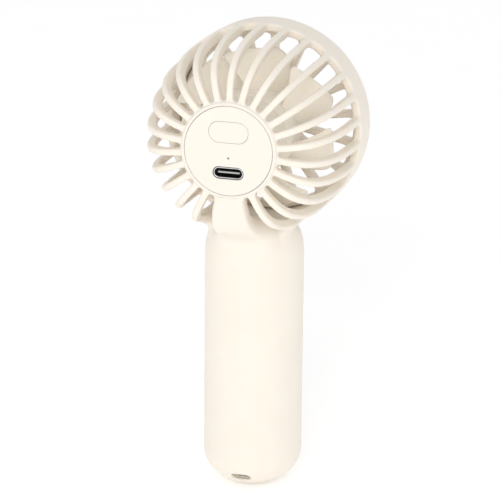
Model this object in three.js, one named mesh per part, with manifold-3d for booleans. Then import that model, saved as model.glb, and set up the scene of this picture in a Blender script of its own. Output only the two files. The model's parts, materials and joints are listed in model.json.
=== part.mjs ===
// Handheld electric fan, in millimetres.
// The handle stands along +Z with its bottom at the origin. The air leaves towards -Y, and the
// control cover, its button and its charging port face +Y. The head's axis is parallel to Y.
import * as THREE from 'three';
import { mergeVertices } from 'three/addons/utils/BufferGeometryUtils.js';
import Module from 'manifold-3d';

const wasm = await Module();
wasm.setup();

// ---- Driving dimensions ----
const GAP = 0.3; // clearance between neighbouring pieces

const HANDLE_RADIUS = 14.7;
const HANDLE_TOP = 86;
const HANDLE_WALL = 1.8;
const HANDLE_BOTTOM_RISE = 11; // height of the elliptical lower end
const HANDLE_TOP_RISE = 14; // height of the fuller upper end
const HANDLE_TOP_POWER = 2.3; // superellipse exponent of the upper end
const BASE_FLAT_RADIUS = 3;
const SLOT_WIDTH = 5.7; // lanyard slot at the handle's lower back
const SLOT_HEIGHT = 2;
const SLOT_UP = 4.7;
const SLOT_FRONT = 8;
const PARTING_Y = -4.5; // plane where the front shell meets the rear housing

const HEAD_Z = 109.4;
const HEAD_RADIUS = 30.5;
const HEAD_BACK = 26.9;
const HEAD_FRONT = -17.8;
const CAGE_DEPTH = 34.9; // distance over which the cage grows to its full radius
const CAGE_POWER = 2.95; // superellipse exponent of the cage outline
const RIB_POSITIONS = 26;
const RIB_WIDTH = 2;
const RIB_DEPTH = 3;
const BAND_BACK = -6.4; // rear edge of the solid front band
const BAND_WALL = 2.6;
const FRONT_TAPER = 0.45; // narrowing of the band's radius towards its front edge

const HUB_RADIUS = 14.4;
const COVER_RADIUS = 13.2;
const COVER_THICKNESS = 1.9;
const POD_RADIUS = 12.9;
const POD_BORE = 11.3;
const POD_FRONT = 11.2;
const POD_WALL = 1.6;

const SPINE_WIDTH = 7.7; // at the hub
const SPINE_FLARE = 0.37; // growth of the width for each mm further out
const SPINE_DEPTH = 5.6;
const WIRE_DUCT_RADIUS = 1.6;

const BUTTON_LENGTH = 11.9;
const BUTTON_HEIGHT = 6.2;
const BUTTON_UP = 5.5; // above the head's axis
const LED_UP = -2.15;
const USB_UP = -6.55;
const USB_WIDTH = 8.94;
const USB_HEIGHT = 3.26;
const USB_WALL = 0.3;

const BLADES = 7;
const BLADE_TIP = 24.3;
const BLADE_MIDDLE = -0.3; // y of the blades' middle
const BLADE_TURN = 3.4; // degrees by which the first blade's tip is past the top
const BLADE_SWEEP = 22; // degrees by which a blade's root lags its tip
const ROTOR_RADIUS = 12.9;
const ROTOR_BORE = 11.5;
const SHAFT_RADIUS = 1;

const CELL_RADIUS = 9.2;
const CELL_LENGTH = 65;
const CELL_BOTTOM = 5.8;

const BOARD_BACK = 18; // rear face of the control board, which carries the parts
const BOARD_THICKNESS = 1;
const BOARD_RADIUS = 10.8;
const BOARD_SCREW_X = 8.2;
const BOARD_SCREW_UP = 1.5;
const MOTOR_SCREW_UP = 5.8;

const HEAD_SEGMENTS = 52;
const HANDLE_SEGMENTS = 36;
const SMALL_SEGMENTS = 20;

// ---- Materials ----
const material = (color, roughness, metalness = 0) =>
  new THREE.MeshStandardMaterial({ color, roughness, metalness });
const CREAM = material(0xf3ecdd, 0.5);
const CREAM_INNER = material(0xe9e0cf, 0.5);
const STEEL = material(0xc4c6c8, 0.3, 1);
const BRASS = material(0xc9a85a, 0.35, 1);
const COPPER = material(0xb5673a, 0.35, 1);
const DARK_STEEL = material(0x55585c, 0.45, 1);
const BOARD_GREEN = material(0x1d5a3a, 0.5);
const BLACK = material(0x1b1b1d, 0.5);
const FOAM = material(0x3a3a3c, 0.95);
const CELL_WRAP = material(0x3c7fb0, 0.4);
const GREY = material(0x9a9a98, 0.5);
const RED = material(0xb52a22, 0.5);
const CLEAR = material(0xf4f4f0, 0.2);

// ---- Solid helpers ----
function solid(geometry) {
  const bare = geometry.index ? geometry.clone() : geometry;
  bare.deleteAttribute('normal');
  bare.deleteAttribute('uv');
  const merged = mergeVertices(bare, 1e-4);
  const vertProperties = new Float32Array(merged.attributes.position.array);
  const triVerts = new Uint32Array(merged.index.array);
  return new wasm.Manifold(new wasm.Mesh({ numProp: 3, vertProperties, triVerts }));
}

function toGeometry(body) {
  const mesh = body.getMesh();
  const geometry = new THREE.BufferGeometry();
  geometry.setAttribute('position', new THREE.BufferAttribute(mesh.vertProperties, 3));
  geometry.setIndex(new THREE.BufferAttribute(mesh.triVerts, 1));
  geometry.computeVertexNormals();
  return geometry;
}

const union = (bodies) => bodies.reduce((sum, body) => sum.add(body));
const cut = (body, tools) => tools.reduce((rest, tool) => rest.subtract(tool), body);

// Revolves [radius, y] points about the y axis. The points go round the section in the order of
// rising y on its outer side. A profile off the axis is closed on itself.
function turned(profile, segments = SMALL_SEGMENTS) {
  const points = profile.map(([radius, y]) => new THREE.Vector2(radius, y));
  if (points[0].x > 0) {
    points.push(points[0].clone());
  }
  return new THREE.LatheGeometry(points, segments);
}

const turnedOnHead = (profile, segments) => turned(profile, segments).translate(0, 0, HEAD_Z);
const turnedOnHandle = (profile, segments) => turned(profile, segments).rotateX(Math.PI / 2);

const disc = (radius, front, back) => [[0, front], [radius, front], [radius, back], [0, back]];
const ring = (inner, outer, front, back) =>
  [[inner, front], [outer, front], [outer, back], [inner, back]];

// A box from its size and centre; up is measured from the head's axis.
const headBox = (width, depth, height, x, y, up) =>
  new THREE.BoxGeometry(width, depth, height).translate(x, y, HEAD_Z + up);

// A small part turned about an axis parallel to the head's, at x and up from it.
const turnedAt = (profile, x, up, segments) =>
  turned(profile, segments).translate(x, 0, HEAD_Z + up);

// A shape drawn in X and up, extruded from the front to the back.
function headExtrude(shape, front, back, curveSegments = 8) {
  const options = { depth: back - front, bevelEnabled: false, curveSegments };
  const geometry = new THREE.ExtrudeGeometry(shape, options);
  return geometry.rotateX(Math.PI / 2).translate(0, back, HEAD_Z);
}

// A stadium outline with its middle at up.
function stadium(width, height, up) {
  const radius = height / 2;
  const reach = width / 2 - radius;
  const shape = new THREE.Shape();
  shape.absarc(reach, up, radius, -Math.PI / 2, Math.PI / 2, false);
  shape.absarc(-reach, up, radius, Math.PI / 2, 1.5 * Math.PI, false);
  return shape;
}

// A round wire along smooth points.
function wire(points, radius) {
  const path = new THREE.CatmullRomCurve3(points.map((point) => new THREE.Vector3(...point)));
  const section = new THREE.Shape().absarc(0, 0, radius, 0, 2 * Math.PI, false);
  const steps = 2 * (points.length - 1);
  return new THREE.ExtrudeGeometry(section, {
    steps, bevelEnabled: false, extrudePath: path, curveSegments: 6,
  });
}

// ---- Outlines ----
// Outer handle outline, [radius, z], from the small flat at the bottom to the top.
function handleOutline(inset, steps) {
  const radius = HANDLE_RADIUS - inset;
  const rise = HANDLE_BOTTOM_RISE - inset;
  const start = Math.asin(BASE_FLAT_RADIUS / HANDLE_RADIUS);
  const drop = HANDLE_BOTTOM_RISE * (1 - Math.cos(start));
  const points = [];
  for (let i = 0; i <= steps; i += 1) {
    const angle = start + ((Math.PI / 2 - start) * i) / steps;
    points.push([radius * Math.sin(angle), HANDLE_BOTTOM_RISE - rise * Math.cos(angle) - drop]);
  }
  return points;
}

function handleDome(steps) {
  const points = [];
  for (let i = steps; i >= 0; i -= 1) {
    const angle = (Math.PI / 2) * (i / steps);
    const radius = HANDLE_RADIUS * Math.sin(angle) ** (2 / HANDLE_TOP_POWER);
    const rise = HANDLE_TOP_RISE * Math.cos(angle) ** (2 / HANDLE_TOP_POWER);
    points.push([radius, HANDLE_TOP - HANDLE_TOP_RISE + rise]);
  }
  return points;
}

// A point [radius, y] of the cage's outline; the angle runs from 0 at the hub to 90 degrees.
function cagePoint(angle, inset = 0) {
  const power = 2 / CAGE_POWER;
  const radius = HUB_RADIUS + (HEAD_RADIUS - HUB_RADIUS) * Math.sin(angle) ** power;
  const depth = CAGE_DEPTH * (1 - Math.cos(angle) ** power);
  const step = 0.01;
  const slopeOut = (HEAD_RADIUS - HUB_RADIUS) * power
    * Math.sin(angle + step) ** (power - 1) * Math.cos(angle + step);
  const slopeIn = CAGE_DEPTH * power * Math.cos(angle - step) ** (power - 1)
    * Math.sin(Math.max(angle, step));
  const length = Math.hypot(slopeOut, slopeIn);
  return [
    radius - (inset * slopeIn) / length,
    HEAD_BACK - depth - (inset * slopeOut) / length,
  ];
}

// ---- Shells ----
function handleOuter() {
  const outline = [[0, 0], ...handleOutline(0, 6), ...handleDome(6)];
  return solid(turnedOnHandle(outline, HANDLE_SEGMENTS));
}

const CAVITY_TOP = 76.5;
function handleCavity() {
  const lower = handleOutline(HANDLE_WALL, 5);
  const inner = HANDLE_RADIUS - HANDLE_WALL;
  const outline = [[0, lower[0][1]], ...lower, [inner, CAVITY_TOP - 6],
    [inner - 1.6, CAVITY_TOP - 2], [inner - 5, CAVITY_TOP], [0, CAVITY_TOP]];
  return solid(turnedOnHandle(outline, HANDLE_SEGMENTS));
}

// The half space in front of a plane, as a large block.
function blockInFront(y) {
  const size = 100;
  return solid(new THREE.BoxGeometry(size, size, 2 * size).translate(0, y - size / 2, size / 2));
}

// The cage's section from the hub to the front band, closed on its inner side.
function ribOutline(depth, lastY, steps) {
  const outer = [];
  const inner = [];
  for (let i = 0; i <= steps; i += 1) {
    const angle = (Math.PI / 2) * (i / steps);
    const point = cagePoint(angle);
    if (point[1] > lastY) {
      outer.push(point);
      inner.unshift(cagePoint(angle, depth));
    }
  }
  outer.push([HEAD_RADIUS, lastY]);
  inner.unshift([HEAD_RADIUS - depth, lastY]);
  return [...outer, ...inner];
}

// A plate of the given width whose outline is [radius, y], standing on the head's radius at angle.
function radialPlate(outline, width, angle) {
  const shape = new THREE.Shape(outline.map(([radius, y]) => new THREE.Vector2(radius, y)));
  const plate = new THREE.ExtrudeGeometry(shape, { depth: width, bevelEnabled: false });
  return plate.translate(0, 0, -width / 2).rotateY(angle).translate(0, 0, HEAD_Z);
}

function hub() {
  return solid(turnedOnHead([
    [MOTOR_TUBE_RADIUS + 0.6, POD_FRONT], [POD_RADIUS, POD_FRONT], [POD_RADIUS, HEAD_BACK - 4],
    [HUB_RADIUS, HEAD_BACK - 2.5], [HUB_RADIUS, HEAD_BACK], [COVER_RADIUS + GAP, HEAD_BACK],
    [COVER_RADIUS + GAP, HEAD_BACK - COVER_THICKNESS - GAP],
    [POD_BORE, HEAD_BACK - COVER_THICKNESS - GAP], [POD_BORE, POD_FRONT + POD_WALL],
    [MOTOR_TUBE_RADIUS + 0.6, POD_FRONT + POD_WALL],
  ], HEAD_SEGMENTS));
}

// The neck takes the place of the three lowest ribs and widens downwards.
function spine() {
  const geometry = radialPlate(ribOutline(SPINE_DEPTH, 9, 9), 1, Math.PI / 2);
  const position = geometry.attributes.position;
  for (let k = 0; k < position.count; k += 1) {
    const outwards = HEAD_Z - position.getZ(k) - HUB_RADIUS;
    position.setX(k, position.getX(k) * (SPINE_WIDTH + SPINE_FLARE * outwards));
  }
  return solid(geometry);
}

function frontBand() {
  const inner = HEAD_RADIUS - BAND_WALL;
  const edge = HEAD_RADIUS - FRONT_TAPER;
  const round = 1.5;
  return solid(turnedOnHead([
    [inner, HEAD_FRONT + 0.6], [inner + 0.4, HEAD_FRONT], [edge - round, HEAD_FRONT],
    [edge - 0.3 * round, HEAD_FRONT + 0.3 * round], [edge, HEAD_FRONT + round],
    [HEAD_RADIUS - 0.35 * FRONT_TAPER, (HEAD_FRONT + BAND_BACK) / 2],
    [HEAD_RADIUS, BAND_BACK], [inner, BAND_BACK],
  ], HEAD_SEGMENTS));
}

// The neck's route for the wires, from the handle's cavity to the pod, [y, z].
const WIRE_ROUTE = [
  [9.6, 73], [9.8, 78.6], [12.6, 82.6], [16.4, 85.2], [20, 88], [21.8, 91.5], [21.8, 99],
];

function rearHousing() {
  const shell = cut(handleOuter(), [blockInFront(PARTING_Y)]);
  const ribs = [];
  const outline = ribOutline(RIB_DEPTH, BAND_BACK - 1, 8);
  for (let i = 0; i < RIB_POSITIONS; i += 1) {
    const fromTop = i - RIB_POSITIONS / 2;
    if (Math.abs(fromTop) < RIB_POSITIONS / 2 - 1) {
      const angle = (2 * Math.PI * fromTop) / RIB_POSITIONS - Math.PI / 2;
      ribs.push(solid(radialPlate(outline, RIB_WIDTH, angle)));
    }
  }
  const duct = solid(wire(WIRE_ROUTE.map(([y, z]) => [0, y, z]), WIRE_DUCT_RADIUS));
  const head = union([hub(), frontBand(), spine(), ...ribs]);
  const airway = solid(turnedOnHead(
    disc(HEAD_RADIUS - BAND_WALL, HEAD_FRONT - 1, 12),
    HEAD_SEGMENTS,
  ));
  const tools = [handleCavity(), duct, lanyardSlot()];
  const bosses = [-1, 1].map((side) => solid(turnedAt(
    disc(1.75, POD_FRONT + 1, BOARD_BACK - BOARD_THICKNESS - 0.2),
    side * BOARD_SCREW_X,
    BOARD_SCREW_UP,
  )));
  for (const side of [-1, 1]) {
    const boardPilot = disc(1.05, POD_FRONT + 2.3, BOARD_BACK);
    const motorHole = disc(1, POD_FRONT - 1, POD_FRONT + POD_WALL + 1);
    tools.push(solid(turnedAt(boardPilot, side * BOARD_SCREW_X, BOARD_SCREW_UP, 12)));
    tools.push(solid(turnedAt(motorHole, 0, side * MOTOR_SCREW_UP, 12)));
  }
  return cut(union([shell.subtract(airway), head, ...bosses]), tools);
}

// A slot through the corner of the handle's bottom, for a wrist cord.
function lanyardSlot() {
  const outline = stadium(SLOT_WIDTH, SLOT_HEIGHT, SLOT_UP - HEAD_Z);
  return solid(headExtrude(outline, SLOT_FRONT, HANDLE_RADIUS, 4));
}

function frontHandleShell() {
  const shell = handleOuter().intersect(blockInFront(PARTING_Y - GAP));
  const headRoom = solid(turnedOnHead(
    disc(HEAD_RADIUS + GAP, HEAD_FRONT - 1, HEAD_BACK),
    HEAD_SEGMENTS,
  ));
  return cut(shell, [handleCavity(), headRoom]);
}

const GRILLE_FRONT = -17.5;
const GRILLE_BACK = -13;
const GRILLE_BARS = 18;
const GRILLE_BAR_WIDTH = 1.8;
const GRILLE_TURN = -2.6; // degrees from the top to the first bar
const CAP_BACK = -16;
function frontGrille() {
  const outer = HEAD_RADIUS - BAND_WALL - GAP;
  const rim = solid(turnedOnHead(ring(outer - 1.6, outer, GRILLE_FRONT, GRILLE_BACK - 0.4), 52));
  const center = solid(turnedOnHead(ring(7.6, 10.2, GRILLE_FRONT, GRILLE_BACK), 52));
  const web = solid(turnedOnHead(disc(8, CAP_BACK + GAP, CAP_BACK + GAP + 1.1), 52));
  const bars = [];
  const outline = [[9.6, GRILLE_FRONT], [outer - 0.8, GRILLE_FRONT],
    [outer - 0.8, GRILLE_BACK - 0.4], [9.6, GRILLE_BACK - 0.4]];
  for (let i = 0; i < GRILLE_BARS; i += 1) {
    const turn = THREE.MathUtils.degToRad(GRILLE_TURN);
    const angle = (2 * Math.PI * i) / GRILLE_BARS + turn - Math.PI / 2;
    bars.push(solid(radialPlate(outline, GRILLE_BAR_WIDTH, angle)));
  }
  return union([rim, center, web, ...bars]);
}

function grilleCenterCap() {
  return turnedOnHead([
    [0, GRILLE_FRONT + 0.1], [6.6, GRILLE_FRONT + 0.1], [7.3, GRILLE_FRONT + 0.5],
    [7.3, CAP_BACK], [0, CAP_BACK],
  ], 40);
}

function controlCover() {
  const front = HEAD_BACK - COVER_THICKNESS;
  const plate = solid(turnedOnHead([
    [0, front], [COVER_RADIUS, front], [COVER_RADIUS, HEAD_BACK - 0.25],
    [COVER_RADIUS - 0.25, HEAD_BACK], [0, HEAD_BACK],
  ], HEAD_SEGMENTS));
  const clear = (shape) => solid(headExtrude(shape, front - 1, HEAD_BACK + 1));
  return cut(plate, [
    clear(stadium(BUTTON_LENGTH + 0.4, BUTTON_HEIGHT + 0.4, BUTTON_UP)),
    clear(stadium(USB_WIDTH + 0.5, USB_HEIGHT + 0.5, USB_UP)),
    solid(turnedAt(disc(0.45, front - 1, HEAD_BACK + 1), 0, LED_UP, 12)),
  ]);
}

// ---- Controls and electronics ----
const BUTTON_FACE = HEAD_BACK - 0.05;
const BUTTON_FLANGE_BACK = HEAD_BACK - COVER_THICKNESS - 0.3;
function powerButton() {
  const cap = headExtrude(stadium(BUTTON_LENGTH, BUTTON_HEIGHT, BUTTON_UP),
    BUTTON_FLANGE_BACK - 0.3, BUTTON_FACE);
  const flange = headExtrude(stadium(BUTTON_LENGTH + 1.4, BUTTON_HEIGHT + 1.2, BUTTON_UP),
    BUTTON_FLANGE_BACK - 0.8, BUTTON_FLANGE_BACK);
  const stem = turnedAt(disc(1.5, SWITCH_TOP + 0.2, BUTTON_FLANGE_BACK - 0.4), 0, BUTTON_UP, 16);
  return union([solid(cap), solid(flange), solid(stem)]);
}

const SWITCH_TOP = 22.5;
function tactSwitchBase() {
  const base = solid(headBox(6, 3.1, 6, 0, BOARD_BACK + 0.2 + 1.55, BUTTON_UP));
  return base.subtract(solid(turnedAt(disc(1.95, BOARD_BACK + 1.9, SWITCH_TOP), 0, BUTTON_UP, 16)));
}

const tactSwitchPlunger = () =>
  turnedAt(disc(1.65, SWITCH_TOP - 2.1, SWITCH_TOP), 0, BUTTON_UP, 16);

function ledLightPipe() {
  return turnedAt([
    [0, BOARD_BACK + 1.4], [0.6, BOARD_BACK + 1.4], [0.6, 24], [1, 24], [1, 24.6],
    [0.28, 24.6], [0.28, HEAD_BACK - 0.1], [0, HEAD_BACK - 0.1],
  ], 0, LED_UP, 12);
}

const USB_FRONT = BOARD_BACK + 0.3;
const USB_BACK = HEAD_BACK - 0.3;
function usbShell() {
  const outside = solid(headExtrude(stadium(USB_WIDTH, USB_HEIGHT, USB_UP), USB_FRONT, USB_BACK));
  const inside = stadium(USB_WIDTH - 2 * USB_WALL, USB_HEIGHT - 2 * USB_WALL, USB_UP);
  return outside.subtract(solid(headExtrude(inside, USB_FRONT - 1, USB_BACK + 1)));
}

function usbTongue() {
  const inset = 2 * (USB_WALL + 0.2);
  const block = headExtrude(stadium(USB_WIDTH - inset, USB_HEIGHT - inset, USB_UP), USB_FRONT, 20.5);
  const tongue = headBox(6.5, USB_BACK - 0.6 - 20, 0.7, 0, (USB_BACK - 0.6 + 20) / 2, USB_UP);
  return solid(block).add(solid(tongue));
}

function controlBoard() {
  const front = BOARD_BACK - BOARD_THICKNESS;
  const board = solid(turnedOnHead(disc(BOARD_RADIUS, front, BOARD_BACK), 48));
  const holes = [-1, 1].map((side) =>
    solid(turnedAt(disc(1.1, front - 1, BOARD_BACK + 1), side * BOARD_SCREW_X, BOARD_SCREW_UP, 12)));
  return cut(board, holes);
}

// A part soldered to the rear of the control board.
const boardPart = (width, depth, height, x, up) =>
  headBox(width, depth, height, x, BOARD_BACK + 0.1 + depth / 2, up);

// A pan-head screw that points to the front; the head's front face is at y.
const screw = (headRadius, headHeight, shankRadius, shankLength, y, x, up) => turnedAt([
  [0, y - shankLength], [shankRadius, y - shankLength], [shankRadius, y], [headRadius, y],
  [headRadius, y + 0.6 * headHeight], [0.7 * headRadius, y + headHeight], [0, y + headHeight],
], x, up, 16);

// ---- Motor ----
const MOTOR_TUBE_RADIUS = 3.1;
const MOTOR_TUBE_BORE = 2.45;
const STATOR_FRONT = 2;
const STATOR_BACK = 7.5;
const STATOR_POLES = 6;
const FLANGE_BACK = POD_FRONT - GAP;

function motorBase() {
  const body = solid(turnedOnHead([
    [MOTOR_TUBE_BORE, 0.6], [MOTOR_TUBE_RADIUS, 0.6], [MOTOR_TUBE_RADIUS, FLANGE_BACK - 1],
    [8, FLANGE_BACK - 1], [8, FLANGE_BACK], [MOTOR_TUBE_RADIUS, FLANGE_BACK],
    [MOTOR_TUBE_RADIUS, POD_FRONT + POD_WALL - 0.2], [MOTOR_TUBE_BORE, POD_FRONT + POD_WALL - 0.2],
  ], 24));
  const holes = [-1, 1].map((side) =>
    solid(turnedAt(disc(1, FLANGE_BACK - 2, FLANGE_BACK + 1), 0, side * MOTOR_SCREW_UP, 12)));
  return cut(body, holes);
}

const motorBoard = () =>
  turnedOnHead(ring(MOTOR_TUBE_RADIUS + GAP, 7.9, FLANGE_BACK - 2.1, FLANGE_BACK - 1.3), 32);

function poleAngle(i) {
  return (2 * Math.PI * i) / STATOR_POLES;
}

// The laminated core: a hub, and arms that end in curved shoes.
function statorCore() {
  const core = solid(turnedOnHead(ring(MOTOR_TUBE_RADIUS + GAP, 4.7, STATOR_FRONT, STATOR_BACK), 24));
  const shoes = solid(turnedOnHead(ring(7.6, 8.6, STATOR_FRONT, STATOR_BACK), 48));
  const bodies = [core];
  for (let i = 0; i < STATOR_POLES; i += 1) {
    const arm = [[4.2, STATOR_FRONT], [8.1, STATOR_FRONT], [8.1, STATOR_BACK], [4.2, STATOR_BACK]];
    const wedge = [[6, STATOR_FRONT - 1], [10, STATOR_FRONT - 1], [10, STATOR_BACK + 1],
      [6, STATOR_BACK + 1]];
    bodies.push(solid(radialPlate(arm, 1.8, poleAngle(i))));
    bodies.push(shoes.intersect(solid(radialPlate(wedge, 6, poleAngle(i)))));
  }
  return union(bodies);
}

// A winding around one arm.
function coil(i) {
  const outline = (inner, outer, margin) => [[inner, STATOR_FRONT - margin],
    [outer, STATOR_FRONT - margin], [outer, STATOR_BACK + margin], [inner, STATOR_BACK + margin]];
  const outside = solid(radialPlate(outline(5.1, 7.2, 0.9), 3.8, poleAngle(i)));
  return outside.subtract(solid(radialPlate(outline(4, 9, 0.25), 2.3, poleAngle(i))));
}

function bearing(front) {
  return turnedOnHead(
    ring(SHAFT_RADIUS + 0.25, MOTOR_TUBE_BORE - 0.25, front, front + 2.5),
    24,
  );
}

// ---- Rotor ----
const CUP_PLATE_FRONT = -1;
const CUP_RADIUS = ROTOR_BORE - GAP;
function rotorCup() {
  return turnedOnHead([
    [SHAFT_RADIUS + 0.25, CUP_PLATE_FRONT], [CUP_RADIUS, CUP_PLATE_FRONT], [CUP_RADIUS, 8.4],
    [CUP_RADIUS - 0.6, 8.4], [CUP_RADIUS - 0.6, CUP_PLATE_FRONT + 0.7],
    [SHAFT_RADIUS + 0.25, CUP_PLATE_FRONT + 0.7],
  ], 40);
}

const magnetRing = () => turnedOnHead(ring(9.1, CUP_RADIUS - 0.8, 1.5, 8), 40);
const shaft = () => turnedOnHead(disc(SHAFT_RADIUS, -4.6, 13.7), 24);
const shaftClip = () => turnedOnHead(ring(SHAFT_RADIUS + 0.2, 2.3, 13.1, 13.5), 24);

// A twisted blade that wraps round the rotor. The box's length runs along the radius, its height
// along the chord and its depth through the blade.
function blade(i) {
  const rootRadius = ROTOR_RADIUS - 0.5;
  const geometry = new THREE.BoxGeometry(1, 1, 1, 4, 6, 1);
  const position = geometry.attributes.position;
  for (let k = 0; k < position.count; k += 1) {
    const out = position.getX(k) + 0.5;
    const along = position.getY(k);
    const radius = rootRadius + (BLADE_TIP - rootRadius) * out;
    const chord = THREE.MathUtils.lerp(14, 19, Math.sin((Math.PI / 2) * out));
    const pitch = THREE.MathUtils.degToRad(THREE.MathUtils.lerp(46, 31, out));
    const camber = 0.9 * (1 - 4 * along * along);
    const thickness = THREE.MathUtils.lerp(1.3, 1, out) / Math.cos(pitch);
    const turn = THREE.MathUtils.degToRad(BLADE_TURN - BLADE_SWEEP * (1 - out));
    const angle = (2 * Math.PI * i) / BLADES + turn + (along * chord * Math.cos(pitch)) / radius;
    const y = BLADE_MIDDLE + along * chord * Math.sin(pitch) + camber + position.getZ(k) * thickness;
    position.setXYZ(k, radius * Math.sin(angle), y, radius * Math.cos(angle));
  }
  return solid(geometry.translate(0, 0, HEAD_Z));
}

const ROTOR_FRONT = -6.4;
function impeller() {
  const shellBody = solid(turnedOnHead([
    [0, ROTOR_FRONT], [8, ROTOR_FRONT], [11.6, ROTOR_FRONT + 1], [ROTOR_RADIUS, ROTOR_FRONT + 3],
    [ROTOR_RADIUS, POD_FRONT - 0.6], [ROTOR_BORE, POD_FRONT - 0.6], [ROTOR_BORE, -1.4],
    [SHAFT_RADIUS + 1.6, -1.4], [SHAFT_RADIUS + 1.6, -1.3], [SHAFT_RADIUS + GAP, -1.3],
    [SHAFT_RADIUS + GAP, -4.9], [0, -4.9],
  ], 40));
  const blades = [];
  for (let i = 0; i < BLADES; i += 1) {
    blades.push(blade(i));
  }
  return union([shellBody, ...blades]);
}

// ---- Battery and wiring ----
const CELL_TOP = CELL_BOTTOM + CELL_LENGTH;

function batteryCell() {
  return turnedOnHandle([
    [0, CELL_BOTTOM], [CELL_RADIUS - 0.4, CELL_BOTTOM], [CELL_RADIUS, CELL_BOTTOM + 0.4],
    [CELL_RADIUS, CELL_TOP - 1.6], [CELL_RADIUS - 0.4, CELL_TOP - 1.2], [0, CELL_TOP - 1.2],
  ], 40);
}

const batteryInsulator = () => turnedOnHandle(ring(3.4, 8.4, CELL_TOP - 1, CELL_TOP - 0.7), 32);
const batteryCap = () => turnedOnHandle(disc(2.9, CELL_TOP - 0.9, CELL_TOP), 24);
const batteryPad = (radius, bottom, top) => turnedOnHandle(disc(radius, bottom, top), 24);

// A nickel strip across one end of the cell.
const batteryTab = (z) => new THREE.BoxGeometry(5, 11, 0.2).translate(0, 1.5, z);

// A wire that runs through its own first points and then side by side with the other in the duct.
function batteryWire(side, start) {
  const duct = WIRE_ROUTE.slice(1, 6).map(([y, z]) => [side * 0.55, y, z]);
  return wire([...start, ...duct, [side * 0.7, 21.6, 94.4]], 0.4);
}

// ---- Assembly ----
const fan = new THREE.Group();

function add(name, shape, look) {
  const geometry = shape.isBufferGeometry ? shape : toGeometry(shape);
  const mesh = new THREE.Mesh(geometry, look);
  mesh.name = name;
  fan.add(mesh);
}

add('rear_housing', rearHousing(), CREAM);
add('front_handle_shell', frontHandleShell(), CREAM);
add('front_grille', frontGrille(), CREAM);
add('grille_center_cap', grilleCenterCap(), CREAM);
add('control_cover', controlCover(), CREAM);
add('power_button', powerButton(), CREAM);

add('tact_switch_base', tactSwitchBase(), BLACK);
add('tact_switch_plunger', tactSwitchPlunger(), GREY);
add('led_light_pipe', ledLightPipe(), CLEAR);
add('status_led', boardPart(1.6, 0.7, 0.9, 0, LED_UP), CLEAR);
add('usb_shell', usbShell(), STEEL);
add('usb_tongue', usbTongue(), GREY);
add('control_board', controlBoard(), BOARD_GREEN);
add('charger_chip', boardPart(3, 0.9, 3, -5.6, -2.6), BLACK);
add('motor_driver_chip', boardPart(3, 0.9, 3, 5.4, 5.8), BLACK);
add('inductor', boardPart(3, 1.8, 3, 5.6, -2.6), GREY);
add('capacitor', boardPart(1.6, 0.9, 0.9, -5.4, 5.4), BRASS);
for (const [side, name] of [[-1, 'board_screw_left'], [1, 'board_screw_right']]) {
  const x = side * BOARD_SCREW_X;
  add(name, screw(1.5, 1, 0.8, 4, BOARD_BACK + 0.2, x, BOARD_SCREW_UP), STEEL);
}

add('motor_base', motorBase(), BRASS);
for (const [side, name] of [[-1, 'motor_screw_lower'], [1, 'motor_screw_upper']]) {
  const y = POD_FRONT + POD_WALL + 0.2;
  add(name, screw(1.4, 0.9, 0.75, 2.8, y, 0, side * MOTOR_SCREW_UP), STEEL);
}
add('motor_board', motorBoard(), BOARD_GREEN);
add('stator_core', statorCore(), DARK_STEEL);
for (let i = 0; i < STATOR_POLES; i += 1) {
  add(`coil_${i + 1}`, coil(i), COPPER);
}
add('bearing_front', bearing(0.9), STEEL);
add('bearing_rear', bearing(9.8), STEEL);

add('impeller', impeller(), CREAM_INNER);
add('rotor_cup', rotorCup(), STEEL);
add('magnet_ring', magnetRing(), DARK_STEEL);
add('shaft', shaft(), STEEL);
add('shaft_clip', shaftClip(), DARK_STEEL);

add('battery_cell', batteryCell(), CELL_WRAP);
add('battery_insulator', batteryInsulator(), FOAM);
add('battery_cap', batteryCap(), STEEL);
add('battery_tab_positive', batteryTab(CELL_TOP + 0.5), STEEL);
add('battery_tab_negative', batteryTab(CELL_BOTTOM - 0.4), STEEL);
add('battery_pad_top', batteryPad(7, CELL_TOP + 0.9, CAVITY_TOP - 0.4), FOAM);
add('battery_pad_bottom', batteryPad(5.5, 3.2, CELL_BOTTOM - 0.8), FOAM);
const positiveStart = [[1.2, 7.8, CELL_TOP + 0.8], [0.9, 8.7, CELL_TOP + 4]];
const negativeStart = [[-1.2, 10.6, CELL_BOTTOM + 0.8], [-1.2, 10.9, 20], [-1.2, 10.9, 50],
  [-0.9, 10.1, CELL_TOP + 1]];
add('battery_wire_positive', batteryWire(1, positiveStart), RED);
add('battery_wire_negative', batteryWire(-1, negativeStart), BLACK);

export default fan;
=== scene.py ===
"""Looks for the handheld fan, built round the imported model. Lengths named below are in
millimetres, because the mouldings are small; every finished mesh is scaled to metres."""
import json
import math

import bpy
import numpy as np
from mathutils import Matrix, Vector


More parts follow.
